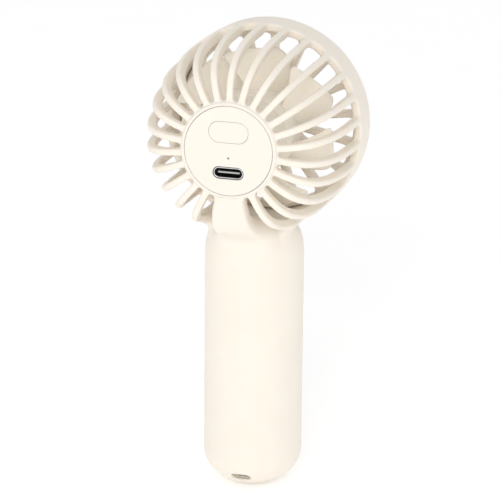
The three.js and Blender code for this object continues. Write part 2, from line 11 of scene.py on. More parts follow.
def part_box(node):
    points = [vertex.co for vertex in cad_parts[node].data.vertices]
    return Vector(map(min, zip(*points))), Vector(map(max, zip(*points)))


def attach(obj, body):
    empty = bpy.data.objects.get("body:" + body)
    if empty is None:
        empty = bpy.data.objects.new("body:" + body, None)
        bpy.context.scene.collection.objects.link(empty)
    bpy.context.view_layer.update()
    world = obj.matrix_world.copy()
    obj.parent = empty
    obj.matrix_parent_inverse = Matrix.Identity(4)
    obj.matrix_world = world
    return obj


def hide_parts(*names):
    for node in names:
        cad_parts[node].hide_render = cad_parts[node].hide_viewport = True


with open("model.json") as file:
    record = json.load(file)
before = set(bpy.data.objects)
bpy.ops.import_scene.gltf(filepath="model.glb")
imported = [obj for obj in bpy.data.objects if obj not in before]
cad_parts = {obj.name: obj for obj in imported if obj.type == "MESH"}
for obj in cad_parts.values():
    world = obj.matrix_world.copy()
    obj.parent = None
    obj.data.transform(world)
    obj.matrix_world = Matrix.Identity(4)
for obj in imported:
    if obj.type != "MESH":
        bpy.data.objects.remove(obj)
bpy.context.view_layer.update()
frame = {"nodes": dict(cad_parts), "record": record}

MM = 0.001

# ---- Places and sizes, taken from the frame where a CAD node gives them ----


def corners(node):
    """The lowest and highest corner of a CAD node, in mm."""
    low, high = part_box(node)
    return np.array(low) / MM, np.array(high) / MM


cover_low, cover_high = corners("control_cover")
housing_low, housing_high = corners("rear_housing")
grille_low, grille_high = corners("front_grille")
cap_low, cap_high = corners("grille_center_cap")
button_low, button_high = corners("power_button")
usb_low, usb_high = corners("usb_shell")
tongue_low, tongue_high = corners("usb_tongue")
pipe_low, pipe_high = corners("led_light_pipe")

HEAD_Z = (cover_low[2] + cover_high[2]) / 2
HEAD_BACK = housing_high[1]
HEAD_FRONT = housing_low[1]
HEAD_RADIUS = housing_high[0]
COVER_RADIUS = cover_high[0]
COVER_FRONT = cover_low[1]
COVER_BACK = HEAD_BACK - 0.02
ROTOR_BACK = corners("impeller")[1][1]
BUTTON_UP = (button_low[2] + button_high[2]) / 2 - HEAD_Z
USB_UP = (usb_low[2] + usb_high[2]) / 2 - HEAD_Z
LED_UP = (pipe_low[2] + pipe_high[2]) / 2 - HEAD_Z
USB_WIDTH = usb_high[0] - usb_low[0]
USB_HEIGHT = usb_high[2] - usb_low[2]

HUB_RADIUS = 14.4
HUB_PROUD = 0.5          # the hub's rim stands this much behind the ribs
CAGE_DEPTH = 34.9        # distance over which the cage grows to its full radius
CAGE_POWER = 2.95        # superellipse exponent of the cage
RIBS = 26                # places for ribs round the head
LAST_RIB = 11            # of each side, counted from the top; the neck takes the other three
RIB_HALF_WIDTH = 1.0
RIB_DEPTH = 3.0
RIB_EDGE = 0.62          # radius of a rib's rounded edges
HUB_COLLAR = 0.2         # the ribs end in a collar this much outside the rim
HUB_FILLET = 0.9
BAND_BACK = -6.4
BAND_WALL = 2.6
BAND_FILLET = 2.2
WALL_EASE = 3.0          # behind the band, over which its wall grows to the ribs' depth
FRONT_TAPER = 0.45       # the band's radius shrinks by this much towards its front edge
FRONT_TAPER_POWER = 1.5
FRONT_EDGE = 0.9
AIRWAY_BACK = 10.0       # the head is hollow up to here, as far as its wall
AIRWAY_EDGE = 0.4
POD_RADIUS = 12.9
POD_BORE = 11.3
POD_FRONT = 11.2
POD_WALL = 1.6
POD_SETBACK = 2.0        # from the head's back
POD_EDGE = 0.5
POD_FILLET = 1.0
SEAT_INSET = 0.5         # of the cover's seat, inside the hub's radius
SEAT_GAP = 0.3           # between the cover and the seat's floor
MOTOR_HOLE = 3.7
SPINE_HALF_WIDTH = 3.85  # of the neck, at the hub
SPINE_FLARE = 0.185      # growth of that for each mm further down
SPINE_DEPTH = 5.6
SPINE_SINK = 0.3         # the neck's spine lies this much below the cage's surface
SPINE_INSET = 0.1        # on each side of the neck
SPINE_FRONT = 9.0
SPINE_EDGE = 1.2
SPINE_FILLET = 2.4

HANDLE_RADIUS = 14.7
HANDLE_TOP = 86.0
HANDLE_BOTTOM_RISE = 11.0
HANDLE_TOP_RISE = 14.0
HANDLE_TOP_POWER = 2.3
HANDLE_WALL = 1.8
CAVITY_TOP = 76.5
BASE_RADIUS = 3.0        # of the flat under the handle
BASE_DROP = HANDLE_BOTTOM_RISE * (1 - math.cos(math.asin(BASE_RADIUS / HANDLE_RADIUS)))
BASE_EDGE = 0.6
PARTING_Y = -4.5
SEAM = 0.12              # width of the hairline between the two shells
SEAM_EDGE = 0.25
HEAD_GAP = 0.15          # between the head and the front shell's top
SHOULDER_FILLET = 8.0    # between head and handle, at the neck
PARTING_FILLET = 0.4     # the same, at the parting plane
FILLET_START = 1.0       # behind the parting plane, where it starts to grow
FILLET_EASE = 12.0       # distance over which one grows to the other

SLOT_UP = 4.7            # the lanyard slot
SLOT_HALF_WIDTH = 2.85
SLOT_HALF_HEIGHT = 1.0
SLOT_DEPTH = 1.4
SLOT_FRONT = 8.0         # only the handle's back is cut, behind this
SLOT_EDGE = 0.5

GRILLE_BARS = 18
BAR_HALF_WIDTH = 0.9
BAR_START = 8.4
BAR_EDGE = 0.5
GRILLE_FRONT = grille_low[1]
GRILLE_BACK = grille_high[1]
GRILLE_TURN = -2.6       # degrees from the top to the first bar
GRILLE_HUB_RADIUS = 10.2
GRILLE_HUB_FILLET = 1.2
GRILLE_RIM_WIDTH = 1.6
GRILLE_RIM_FILLET = 1.6
GRILLE_RIM_EDGE = 0.3
GRILLE_GAP = 0.3         # between the grille and the band
CAP_SEAT = -15.7         # the floor of the centre cap's pocket
CAP_GAP = 0.2
CAP_SEAT_EDGE = 0.2

# ---- Camera: behind the fan, a little to one side and above ----
CAMERA_AZIMUTH = 197.2
CAMERA_ELEVATION = 16.77
CAMERA_ROLL = 0.59
CAMERA_DISTANCE = 993.9
CAMERA_AIM = (1.44, 0.0, 72.1)
CAMERA_LENS = 240.9


def make_camera():
    azimuth, elevation, roll = map(
        math.radians, (CAMERA_AZIMUTH, CAMERA_ELEVATION, CAMERA_ROLL)
    )
    back = Vector((
        math.sin(azimuth) * math.cos(elevation),
        -math.cos(azimuth) * math.cos(elevation),
        math.sin(elevation),
    ))
    level_right = Vector((math.cos(azimuth), math.sin(azimuth), 0))
    level_up = back.cross(level_right)
    right = level_right * math.cos(roll) + level_up * math.sin(roll)
    up = level_up * math.cos(roll) - level_right * math.sin(roll)
    data = bpy.data.cameras.new("camera")
    data.lens = CAMERA_LENS
    data.sensor_width = 36
    data.clip_start = 0.05
    data.clip_end = 20
    camera = bpy.data.objects.new("camera", data)
    bpy.context.scene.collection.objects.link(camera)
    place = (Vector(CAMERA_AIM) + back * CAMERA_DISTANCE) * MM
    camera.matrix_world = Matrix((
        (right.x, up.x, back.x, place.x),
        (right.y, up.y, back.y, place.y),
        (right.z, up.z, back.z, place.z),
        (0, 0, 0, 1),
    ))
    bpy.context.scene.camera = camera


make_camera()

# ---- Distance fields ----
# Each field gives the signed distance to a solid, negative inside, for arrays of points.
FAR = 99.0               # stands for a surface that isn't near


def blend_union(a, b, width):
    """Union with a fillet about as wide as width."""
    mix = np.clip(0.5 + 0.5 * (b - a) / width, 0, 1)
    return b + (a - b) * mix - width * mix * (1 - mix)


def blend_cut(a, tool, width):
    """The solid a less the tool, with a rounded edge."""
    return -blend_union(-a, tool, width)


def rounded(a, b, radius):
    """Intersection of two fields with its outer edge rounded."""
    a = a + radius
    b = b + radius
    outside = np.hypot(np.maximum(a, 0), np.maximum(b, 0))
    return outside + np.minimum(np.maximum(a, b), 0) - radius


def slab(value, low, high):
    return np.abs(value - (low + high) / 2) - (high - low) / 2


def superellipse(across, along, width, height, power):
    """A rounded end: across and along are clamped at its centre, so it runs on straight."""
    across = np.maximum(across, 0) / width
    along = np.maximum(along, 0) / height
    total = np.maximum(across**power + along**power, 1e-9)
    level = total ** (1 / power)
    slope = total ** (1 / power - 1)
    steep = np.hypot(
        across ** (power - 1) * slope / width, along ** (power - 1) * slope / height
    )
    return (level - 1) / np.maximum(steep, 1e-6)


def capsule_field(x, y, z, inset, top):
    """The handle's plain form, set in from its outside, with its dome at the given top."""
    radius = np.hypot(x, y)
    width = HANDLE_RADIUS - inset
    low_centre = HANDLE_BOTTOM_RISE - BASE_DROP
    lower = superellipse(
        radius, low_centre - z, width, HANDLE_BOTTOM_RISE - inset, 2.0
    )
    high_centre = top - HANDLE_TOP_RISE + inset
    upper = superellipse(
        radius, z - high_centre, width, HANDLE_TOP_RISE - inset, HANDLE_TOP_POWER
    )
    return np.where(z < HANDLE_TOP / 2, lower, upper)


def handle_field(x, y, z):
    return rounded(capsule_field(x, y, z, 0.0, HANDLE_TOP), -z, BASE_EDGE)


def cavity_field(x, y, z):
    return capsule_field(x, y, z, HANDLE_WALL, CAVITY_TOP)


def cage_depth_field(radius, y):
    """Distance to the cage's outer surface, before the ribs are cut."""
    return superellipse(
        radius - HUB_RADIUS, y - (HEAD_BACK - CAGE_DEPTH), HEAD_RADIUS - HUB_RADIUS,
        CAGE_DEPTH - HUB_PROUD, CAGE_POWER,
    )


def front_taper(y):
    """How much narrower the band is at y than at its back."""
    forward = np.clip((BAND_BACK - y) / (BAND_BACK - HEAD_FRONT), 0, 1)
    return FRONT_TAPER * forward**FRONT_TAPER_POWER


def wall_at(y):
    """Wall depth, from the thinner band to the ribs."""
    mix = np.clip((y - BAND_BACK) / WALL_EASE, 0, 1)
    return BAND_WALL + (RIB_DEPTH - BAND_WALL) * mix


def slot_field(x, y, z):
    """The lanyard slot's recess in the back of the handle."""
    reach = SLOT_HALF_WIDTH - SLOT_HALF_HEIGHT
    outline = np.hypot(np.maximum(np.abs(x) - reach, 0), z - SLOT_UP) - SLOT_HALF_HEIGHT
    recess = np.maximum(outline, -handle_field(x, y, z) - SLOT_DEPTH)
    return np.maximum(recess, SLOT_FRONT - y)


def rear_housing_field(x, y, z):
    up = z - HEAD_Z
    radius = np.hypot(x, up)
    pitch = 2 * math.pi / RIBS
    angle = np.arctan2(x, up)
    nearest = np.clip(np.round(angle / pitch), -LAST_RIB, LAST_RIB)
    across = np.abs(radius * np.sin(angle - nearest * pitch))
    inner = cage_depth_field(radius, y)
    outer = cage_depth_field(radius + front_taper(y), y)
    wall = wall_at(y)

    # In the cage's surface: ribs, the neck in place of the lowest three, the hub and the band.
    neck_width = SPINE_HALF_WIDTH + SPINE_FLARE * (-up - HUB_RADIUS)
    neck = np.where(up < 0, np.abs(x) - neck_width, FAR)
    plan = np.minimum(across - RIB_HALF_WIDTH, neck)
    plan = blend_union(plan, radius - HUB_RADIUS - HUB_COLLAR, HUB_FILLET)
    plan = blend_union(plan, y - BAND_BACK, BAND_FILLET)
    depth = np.maximum(outer, -inner - wall)
    cage = rounded(plan, depth, RIB_EDGE)
    cage = rounded(cage, HEAD_FRONT - y, FRONT_EDGE)

    # The fillet between head and handle is full at the neck and fades towards the parting.
    shoulder = np.clip((y - PARTING_Y - FILLET_START) / FILLET_EASE, 0, 1)
    fillet = PARTING_FILLET + SHOULDER_FILLET * shoulder
    body = blend_union(cage, handle_field(x, y, z), fillet)
    airway = np.maximum(inner + wall, y - AIRWAY_BACK)
    body = blend_cut(body, airway, AIRWAY_EDGE)

    spine_depth = slab(-inner, SPINE_SINK, SPINE_SINK + SPINE_DEPTH)
    spine = rounded(neck + SPINE_INSET, spine_depth, SPINE_EDGE)
    spine = np.maximum(spine, SPINE_FRONT - y)
    body = blend_union(body, spine, SPINE_FILLET)

    pod_length = slab(y, POD_FRONT, HEAD_BACK - POD_SETBACK)
    pod = rounded(radius - POD_RADIUS, pod_length, POD_EDGE)
    body = blend_union(body, pod, POD_FILLET)
    hollow = np.maximum(radius - POD_BORE, POD_FRONT + POD_WALL - y)
    seat = np.maximum(radius - HUB_RADIUS + SEAT_INSET, COVER_FRONT - SEAT_GAP - y)
    bore = radius - MOTOR_HOLE
    body = np.maximum(body, -np.minimum(np.minimum(hollow, seat), bore))
    body = np.maximum(body, -cavity_field(x, y, z))
    body = blend_cut(body, slot_field(x, y, z), SLOT_EDGE)

    # The front shell's share of the handle is cut away along the parting plane.
    share = np.maximum(y - PARTING_Y, HEAD_RADIUS + HEAD_GAP - radius - front_taper(y))
    return blend_cut(body, share, SEAM_EDGE)


def front_shell_field(x, y, z):
    radius = np.hypot(x, z - HEAD_Z)
    shell = np.maximum(handle_field(x, y, z), -cavity_field(x, y, z))
    below_head = HEAD_RADIUS + 2 * HEAD_GAP - radius - front_taper(y)
    share = np.maximum(y - PARTING_Y + SEAM, below_head)
    return blend_cut(shell, -share, SEAM_EDGE)


def front_grille_field(x, y, z):
    up = z - HEAD_Z
    radius = np.hypot(x, up)
    pitch = 2 * math.pi / GRILLE_BARS
    angle = np.arctan2(x, up) - math.radians(GRILLE_TURN)
    folded = (angle + pitch / 2) % pitch - pitch / 2
    across = np.abs(radius * np.sin(folded))
    rim_radius = HEAD_RADIUS - BAND_WALL - GRILLE_GAP
    plan = np.maximum(across - BAR_HALF_WIDTH, BAR_START - radius)
    plan = blend_union(plan, rim_radius - GRILLE_RIM_WIDTH - radius, GRILLE_RIM_FILLET)
    plan = blend_union(plan, radius - GRILLE_HUB_RADIUS, GRILLE_HUB_FILLET)
    plan = rounded(plan, radius - rim_radius, GRILLE_RIM_EDGE)
    body = rounded(plan, slab(y, GRILLE_FRONT, GRILLE_BACK), BAR_EDGE)
    pocket = np.maximum(radius - cap_high[0] - CAP_GAP, y - CAP_SEAT)
    return blend_cut(body, pocket, CAP_SEAT_EDGE)


# ---- Meshing of the fields ----
SAMPLE_ROWS = 24
SETTLE_ROUNDS = 5
SETTLE_REACH = 0.35


def sample(field, axes):
    """Field values on a grid, worked out a few rows at a time."""
    xs, ys, zs = axes
    values = np.empty((len(xs), len(ys), len(zs)), np.float32)
    for start in range(0, len(xs), SAMPLE_ROWS):
        rows = slice(start, start + SAMPLE_ROWS)
        values[rows] = field(*np.meshgrid(xs[rows], ys, zs, indexing="ij"))
    return values


def surface_net(values, axes):
    """One vertex for each grid cell on the surface, and a quad for each crossed grid edge."""
    inside = values < 0
    cells = np.array(values.shape) - 1
    strides = np.array([cells[1] * cells[2], cells[2], 1])
    all_cells, all_points, quads = [], [], []
    for axis in range(3):
        first = np.argwhere(np.diff(inside, axis=axis))
        second = first.copy()
        second[:, axis] += 1
        a = values[tuple(first.T)].astype(float)
        b = values[tuple(second.T)].astype(float)
        share = a / (a - b)
        points = np.stack([axes[i][first[:, i]] for i in range(3)], 1)
        length = axes[axis][second[:, axis]] - axes[axis][first[:, axis]]
        points[:, axis] += share * length
        u, v = (axis + 1) % 3, (axis + 2) % 3
        around = []
        for du, dv in ((-1, -1), (0, -1), (0, 0), (-1, 0)):
            cell = first.copy()
            cell[:, u] += du
            cell[:, v] += dv
            around.append(cell @ strides)
            all_cells.append(around[-1])
            all_points.append(points)
        quad = np.stack(around, 1)
        flip = a > 0
        quad[flip] = quad[flip][:, ::-1]
        quads.append(quad)
    quads = np.concatenate(quads)
    cell_ids, index = np.unique(np.concatenate(all_cells), return_inverse=True)
    points = np.concatenate(all_points)
    count = np.bincount(index)
    vertices = np.stack(
        [np.bincount(index, points[:, i]) / count for i in range(3)], 1
    )
    return vertices, np.searchsorted(cell_ids, quads)


def gradient(field, points, step=0.03):
    slopes = []
    for axis in range(3):
        shift = np.zeros(3)
        shift[axis] = step
        high = field(*(points + shift).T)
        low = field(*(points - shift).T)
        slopes.append((high - low) / (2 * step))
    return np.stack(slopes, 1)


def settle(field, points):
    """Moves the points a short way along the field's slope, onto the surface."""
    start = points.copy()
    for _ in range(SETTLE_ROUNDS):
        slope = gradient(field, points)
        steep = np.maximum((slope**2).sum(1), 0.05)
        points = points - slope * (field(*points.T) / steep)[:, None]
        moved = points - start
        length = np.linalg.norm(moved, axis=1, keepdims=True)
        points = start + moved * np.minimum(1, SETTLE_REACH / np.maximum(length, 1e-9))
    return points


def lines(*stretches):
    """Grid lines from (start, end, step) stretches that follow each other."""
    parts = []
    for low, high, step in stretches:
        count = max(1, round((high - low) / step))
        parts.append(np.linspace(low, high, count, endpoint=False))
    return np.concatenate([*parts, [stretches[-1][1]]])


def link(mesh, look, body, *replaced):
    """Adds a finished mesh as a piece that rides on a body, in one of the LOOKS, which are
    named after the record's material slots."""
    piece = bpy.data.objects.new(mesh.name, mesh)
    bpy.context.scene.collection.objects.link(piece)
    mesh.materials.append(LOOKS[look])
    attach(piece, body)
    if replaced:
        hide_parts(*replaced)


def mesh_from(name, vertices, faces, normals=None):
    mesh = bpy.data.meshes.new(name)
    mesh.from_pydata((np.asarray(vertices) * MM).tolist(), [], faces)
    mesh.shade_smooth()
    mesh.update()
    if normals is not None:
        mesh.normals_split_custom_set_from_vertices(normals.tolist())
    return mesh


def field_mesh(name, field, axes):
    vertices, quads = surface_net(sample(field, axes), axes)
    vertices = settle(field, vertices)
    normals = gradient(field, vertices, 0.06)
    normals /= np.maximum(np.linalg.norm(normals, axis=1, keepdims=True), 1e-9)
    return mesh_from(name, vertices, quads.tolist(), normals)


# ---- Materials ----


class Nodes:
    """Short names for building one material's nodes."""

    def __init__(self, name):
        self.material = bpy.data.materials.new(name)
        self.material.use_nodes = True
        self.tree = self.material.node_tree
        self.shader = self.tree.nodes["Principled BSDF"]
        self.place = self.add("ShaderNodeTexCoord").outputs["Object"]

    def add(self, kind, **settings):
        node = self.tree.nodes.new(kind)
        for key, value in settings.items():
            if hasattr(node, key):
                setattr(node, key, value)
            else:
                node.inputs[key].default_value = value
        return node

    def join(self, source, target):
        self.tree.links.new(source, target)

    def noise(self, size_mm, detail):
        """Noise whose main lumps are about size_mm across, from 0 to 1."""
        node = self.add("ShaderNodeTexNoise", Scale=1 / (size_mm * MM), Detail=detail)
        self.join(self.place, node.inputs["Vector"])
        return node.outputs["Fac"]

    def ramp(self, source, low, high, start=0.0, end=1.0):
        """Maps the source's range start to end onto low to high."""
        node = self.add("ShaderNodeMapRange")
        for key, value in zip(
            ("From Min", "From Max", "To Min", "To Max"), (start, end, low, high)
        ):
            node.inputs[key].default_value = value
        self.join(source, node.inputs["Value"])
        return node.outputs["Result"]

    def blend(self, factor, first, second):
        """Colour between first and second."""
        node = self.add("ShaderNodeMix", data_type="RGBA")
        colours = [socket for socket in node.inputs if socket.type == "RGBA"]
        for socket, colour in zip(colours, (first, second)):
            socket.default_value = (*colour, 1)
        self.join(factor, node.inputs[0])
        return next(socket for socket in node.outputs if socket.type == "RGBA")

    def bump(self, height, distance_mm, strength, under=None):
        node = self.add("ShaderNodeBump", Strength=strength)
        node.inputs["Distance"].default_value = distance_mm * MM
        self.join(height, node.inputs["Height"])
        if under:
            self.join(under, node.inputs["Normal"])
        return node.outputs["Normal"]

    def set(self, **values):
        for key, value in values.items():
            self.shader.inputs[key.replace("_", " ")].default_value = value


def shade(colour, factor):
    return tuple(channel * factor for channel in colour)


def moulded_plastic(name, colour, roughness, grain_mm=0.16, grain_depth=0.012):
    """Matte injection-moulded plastic: spark-eroded grain, faint flow mottling, uneven gloss."""
    nodes = Nodes(name)
    mottle = nodes.noise(9.0, 3.0)
    base = nodes.blend(nodes.ramp(mottle, 0, 1, 0.35, 0.65), shade(colour, 0.985), colour)
    nodes.join(base, nodes.shader.inputs["Base Color"])
    grain = nodes.noise(grain_mm, 1.5)
    rough = nodes.ramp(nodes.noise(1.4, 3.0), roughness - 0.05, roughness + 0.05, 0.3, 0.7)
    nodes.join(rough, nodes.shader.inputs["Roughness"])
    swell = nodes.bump(mottle, 0.03, 0.4)
    nodes.join(nodes.bump(grain, grain_depth, 0.6, swell), nodes.shader.inputs["Normal"])
    nodes.set(Specular_IOR_Level=0.45, Subsurface_Weight=0.25, Subsurface_Scale=1.5 * MM)
    nodes.shader.inputs["Subsurface Radius"].default_value = (1.0, 0.8, 0.55)
    return nodes.material


def metal(name, colour, roughness):
    """Drawn metal: fine grain in the roughness and the surface, faint tarnish."""
    nodes = Nodes(name)
    tarnish = nodes.noise(1.8, 3.0)
    base = nodes.blend(nodes.ramp(tarnish, 0, 1, 0.3, 0.7), shade(colour, 0.86), colour)
    nodes.join(base, nodes.shader.inputs["Base Color"])
    grain = nodes.noise(0.05, 2.0)
    nodes.join(
        nodes.ramp(grain, roughness - 0.06, roughness + 0.08), nodes.shader.inputs["Roughness"]
    )
    nodes.join(nodes.bump(grain, 0.004, 0.5), nodes.shader.inputs["Normal"])
    nodes.set(Metallic=1.0)
    return nodes.material


CREAM = (0.9, 0.836, 0.745)
LOOKS = {
    "shell": moulded_plastic("cream_shell", CREAM, 0.5),
    "cover": moulded_plastic("cream_cover", CREAM, 0.48),
    "button": moulded_plastic("cream_button", CREAM, 0.46),
    "fan_plastic": moulded_plastic("cream_impeller", (0.95, 0.885, 0.785), 0.42, 0.3, 0.006),
    "black_plastic": moulded_plastic("black_plastic", (0.02, 0.02, 0.022), 0.45),
    "grey_plastic": moulded_plastic("grey_plastic", (0.5, 0.5, 0.49), 0.4),
    "clear_plastic": moulded_plastic("clear_plastic", (0.34, 0.31, 0.26), 0.2),
    "port_steel": metal("port_steel", (0.78, 0.78, 0.78), 0.24),
    "circuit_board": moulded_plastic("solder_mask", (0.015, 0.12, 0.06), 0.3),
    "brass": metal("brass", (0.72, 0.52, 0.24), 0.28),
    "bare_steel": metal("bare_steel", (0.62, 0.62, 0.63), 0.3),
    "dark_steel": metal("dark_steel", (0.2, 0.2, 0.21), 0.42),
    "copper": metal("enamelled_copper", (0.66, 0.26, 0.11), 0.26),
    "cell_wrap": moulded_plastic("cell_wrap", (0.04, 0.18, 0.36), 0.28),
    "foam": moulded_plastic("foam", (0.035, 0.035, 0.036), 0.9, 0.5, 0.15),
    "wire_red": moulded_plastic("wire_red", (0.42, 0.02, 0.015), 0.4),
    "wire_black": moulded_plastic("wire_black", (0.02, 0.02, 0.02), 0.4),
}


def dress_nodes():
    """Gives every CAD node that stays the material of its slot."""
    slots = {row["node"]: row["material_slot"] for row in frame["record"]["subparts"]}
    for name, node in frame["nodes"].items():
        node.data.materials.clear()
        node.data.materials.append(LOOKS[slots[name]])


# ---- Shells ----


def make_rear_housing():
    axes = (
        lines((-31.9, 31.9, 0.55)),
        lines((-18.6, -5.2, 0.55), (-5.2, -3.8, 0.175), (-3.8, 23.4, 0.57), (23.4, 27.4, 0.4)),
        lines((-0.8, 12, 0.55), (12, 70, 1.8), (70, 141.2, 0.56)),
    )
    mesh = field_mesh("rear_housing_moulding", rear_housing_field, axes)
    link(mesh, "shell", "body", "rear_housing")


def make_front_shell():
    axes = (
        lines((-15.6, 15.6, 0.7)),
        lines((-15.6, -5.4, 0.6), (-5.4, -4, 0.175)),
        lines((-0.8, 12, 0.6), (12, 70, 1.8), (70, 86, 0.6)),
    )
    mesh = field_mesh("front_handle_moulding", front_shell_field, axes)
    link(mesh, "shell", "body", "front_handle_shell")


def make_front_grille():
    reach = HEAD_RADIUS - BAND_WALL + 0.5
    axes = (
        lines((-reach, reach, 0.42)),
        lines((GRILLE_FRONT - 0.6, GRILLE_BACK + 0.6, 0.3)),
        lines((HEAD_Z - reach, HEAD_Z + reach, 0.42)),
    )
    mesh = field_mesh("front_grille_moulding", front_grille_field, axes)
    link(mesh, "shell", "body", "front_grille")


def arc(centre, radius, start, end, steps):
    """Points of an arc, angles in degrees."""
    points = []
    for i in range(steps + 1):
        angle = math.radians(start + (end - start) * i / steps)
        points.append((
            centre[0] + radius * math.cos(angle), centre[1] + radius * math.sin(angle)
        ))
    return points


def turned(name, profile, segments, closed=False, axis_z=HEAD_Z):
    """Revolves (radius, y) points about an axis along Y. A closed profile joins its ends."""
    vertices, faces, rings = [], [], []
    for radius, y in profile:
        start = len(vertices)
        if radius < 1e-6:
            rings.append([start] * segments)
            vertices.append((0, y, axis_z))
            continue
        for k in range(segments):
            angle = 2 * math.pi * k / segments
            vertices.append((radius * math.sin(angle), y, axis_z + radius * math.cos(angle)))
        rings.append([start + k for k in range(segments)])
    spans = list(zip(rings, rings[1:])) + ([(rings[-1], rings[0])] if closed else [])
    for low, high in spans:
        for k in range(segments):
            m = (k + 1) % segments
            face = [low[k], low[m], high[m], high[k]]
            face = [v for i, v in enumerate(face) if v not in face[:i]]
            if len(face) > 2:
                faces.append(face)
    mesh = mesh_from(name, vertices, faces)
    mesh.set_sharp_from_angle(angle=math.radians(40))
    return mesh


def make_hub_rim():
    """The crisp turned rim round the control cover, with the fine groove left between them."""
    groove, outer_edge, inner_edge = 0.13, 0.7, 0.18
    inner, outer = COVER_RADIUS + groove, HUB_RADIUS
    profile = [(inner, COVER_FRONT), (outer - 0.1, COVER_FRONT), (outer, COVER_FRONT + 0.4)]
    profile += arc((outer - outer_edge, HEAD_BACK - outer_edge), outer_edge, 0, 90, 10)
    profile += arc((inner + inner_edge, HEAD_BACK - inner_edge), inner_edge, 90, 180, 5)
    mesh = turned("hub_rim", profile, 160, closed=True)
    link(mesh, "shell", "body")


def make_center_cap():
    """A disc with a faintly crowned front and a rounded edge."""
    low, high, radius = cap_low[1], cap_high[1], cap_high[0]
    crown, edge = 0.35, 0.5
    profile = [(0, low)]
    profile += [(radius * s, low + crown * s**3) for s in (0.25, 0.5, 0.7, 0.8)]
    profile += arc((radius - edge, low + crown + edge), edge, -70, 0, 6)
    profile += [(radius, high), (0, high)]
    mesh = turned("grille_cap_disc", profile, 96)
    link(mesh, "shell", "body", "grille_center_cap")


def outline_piece(name, outlines, low, high, bevel):
    """Extrudes flat outlines in X and Z from y low to high with rounded edges. The first is the
    outside and the others are holes."""
    curve = bpy.data.curves.new(name, "CURVE")
    curve.dimensions = "2D"
    curve.fill_mode = "BOTH"
    curve.extrude = ((high - low) / 2 - bevel) * MM
    curve.bevel_depth = bevel * MM
    curve.bevel_resolution = 3
    for k, outline in enumerate(outlines):
        spline = curve.splines.new("POLY")
        spline.points.add(len(outline) - 1)
        spline.use_cyclic_u = True
        inset = bevel if k == 0 else -bevel
        ring = offset_outline(outline, inset)
        for point, (x, z) in zip(spline.points, ring):
            point.co = (x * MM, z * MM, 0, 1)
    holder = bpy.data.objects.new(name, curve)
    mesh = bpy.data.meshes.new_from_object(holder)
    bpy.data.objects.remove(holder)
    bpy.data.curves.remove(curve)
    mesh.name = name
    mesh.transform(Matrix.Rotation(math.radians(90), 4, "X"))
    mesh.transform(Matrix.Translation(Vector((0, (low + high) / 2 * MM, 0))))
    mesh.shade_smooth()
    mesh.set_sharp_from_angle(angle=math.radians(30))
    return mesh


def offset_outline(outline, inset):
    """Moves each point of an anticlockwise outline inwards along its normal."""
    points = np.array(outline)
    along = np.roll(points, -1, 0) - np.roll(points, 1, 0)
    normal = np.stack([along[:, 1], -along[:, 0]], 1)
    normal /= np.linalg.norm(normal, axis=1, keepdims=True)
    return (points - normal * inset).tolist()


def circle(radius, up, steps):
    return arc((0, HEAD_Z + up), radius, 0, 360 - 360 / steps, steps - 1)


def stadium(width, height, up, steps):
    radius = height / 2
    reach = width / 2 - radius
    middle = HEAD_Z + up
    return (
        arc((reach, middle), radius, -90, 90, steps)
        + arc((-reach, middle), radius, 90, 270, steps)
    )


# ---- Control cover and what it holds ----
BUTTON_WIDTH = 11.9
BUTTON_HEIGHT = 6.2
BUTTON_CAP = -0.04       # growth over that size of the cap itself
BUTTON_HOLE = 0.12       # and of its hole in the cover
BUTTON_STEM = 1.3        # the cap starts this far behind the button's front
COVER_EDGE = 0.14
USB_HOLE = 0.4           # growth over the port's shell of its hole in the cover
SEAL_INSIDE = 0.02
SEAL_OUTSIDE = 0.38
SEAL_DEPTH = 0.3         # below the cover's face, and as far from its other side
USB_WALL = 0.3
USB_FLOOR = 2.2          # depth of the block at the port's bottom
TONGUE_SINK = 0.2        # of the tongue in that block
TONGUE_WIDTH = 6.6
TONGUE_HEIGHT = 0.48
TONGUE_TIP = 0.45
LED_HOLE = 0.3
PIPE_RADIUS = 0.6
PIPE_TIP = 0.2
PIPE_FLANGE = 1.0
PIPE_FLANGE_Y = (24.0, 24.6)


def button_outline(growth):
    return stadium(BUTTON_WIDTH + growth, BUTTON_HEIGHT + growth, BUTTON_UP, 28)


def usb_outline(growth):
    return stadium(USB_WIDTH + growth, USB_HEIGHT + growth, USB_UP, 20)


def make_cover():
    outlines = [
        circle(COVER_RADIUS, 0, 160),
        button_outline(BUTTON_HOLE),
        usb_outline(USB_HOLE),
        circle(LED_HOLE, LED_UP, 24),
    ]
    mesh = outline_piece("control_cover_disc", outlines, COVER_FRONT, COVER_BACK, COVER_EDGE)
    link(mesh, "cover", "body", "control_cover")


def make_button():
    outlines = [button_outline(BUTTON_CAP)]
    front, back = button_low[1] + BUTTON_STEM, button_high[1]
    mesh = outline_piece("power_button_cap", outlines, front, back, 0.16)
    link(mesh, "button", "button", "power_button")


